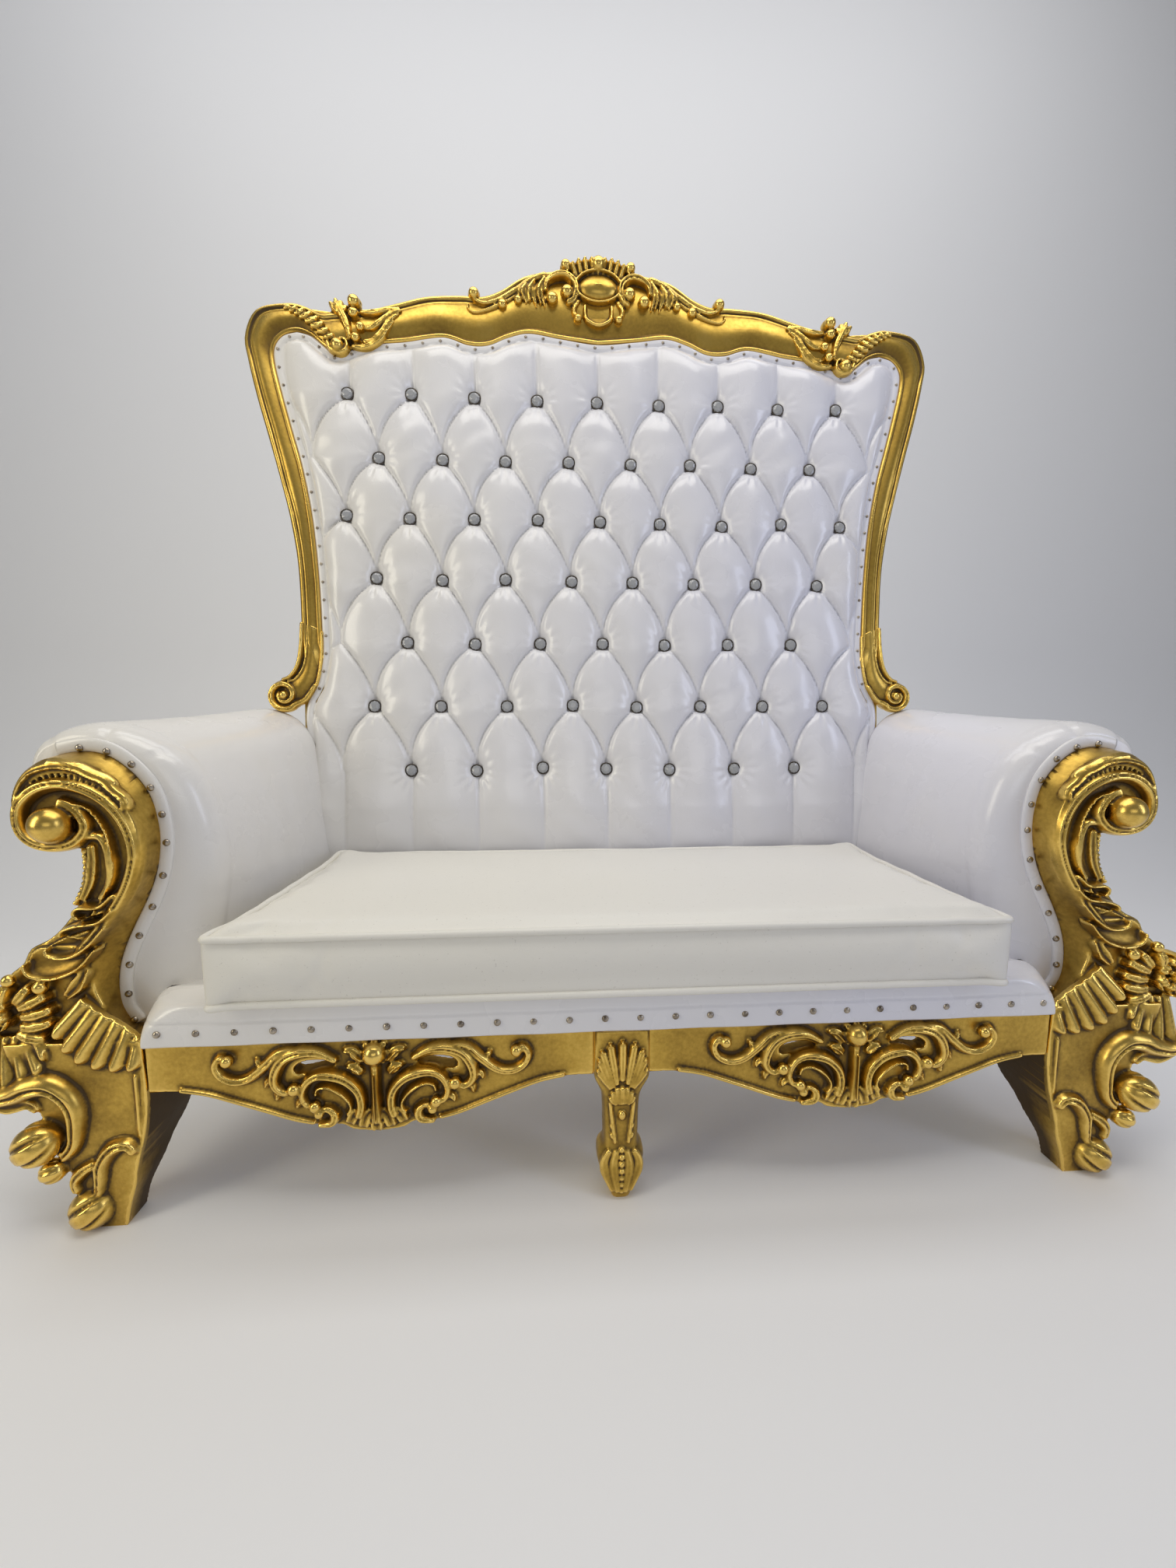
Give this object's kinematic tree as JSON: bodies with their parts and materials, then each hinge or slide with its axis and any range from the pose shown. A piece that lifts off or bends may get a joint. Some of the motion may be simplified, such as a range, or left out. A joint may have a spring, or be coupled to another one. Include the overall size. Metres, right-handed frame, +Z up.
{
  "type": "throne",
  "caption": "Wide high-backed throne with a gilded carved rococo frame, deep-buttoned back, rolled arms and a loose box cushion.",
  "frame": {"origin": "on the floor under the middle of the throne's overall box", "axes": "+Z up, front towards -Y, +X towards the right arm as seen from the front; the throne is symmetric about the plane X = 0"},
  "size_m": [2.0899, 0.64, 1.8452],
  "materials": {
    "gold": "burnished gold leaf over carved wood and moulding, with brown wax in the hollows",
    "plain_gold": "plain gold paint",
    "white_leather": "glossy white faux leather",
    "cushion_leather": "satin off-white faux leather with piping",
    "rear_cloth": "plain off-white backing cloth"
  },
  "bodies": {
    "root": {"left_arm_front": "gold", "right_arm_front": "gold", "left_apron": "gold", "right_apron": "gold", "centre_leg": "gold", "back_frame": "gold", "rear_rail": "plain_gold", "left_rear_leg": "plain_gold", "right_rear_leg": "plain_gold", "left_side_rail": "plain_gold", "right_side_rail": "plain_gold", "left_arm_pad": "white_leather", "right_arm_pad": "white_leather", "back_pad": "white_leather", "seat_deck": "white_leather", "seat_cushion": "cushion_leather", "back_cover": "rear_cloth"}
  },
  "joints": []
}
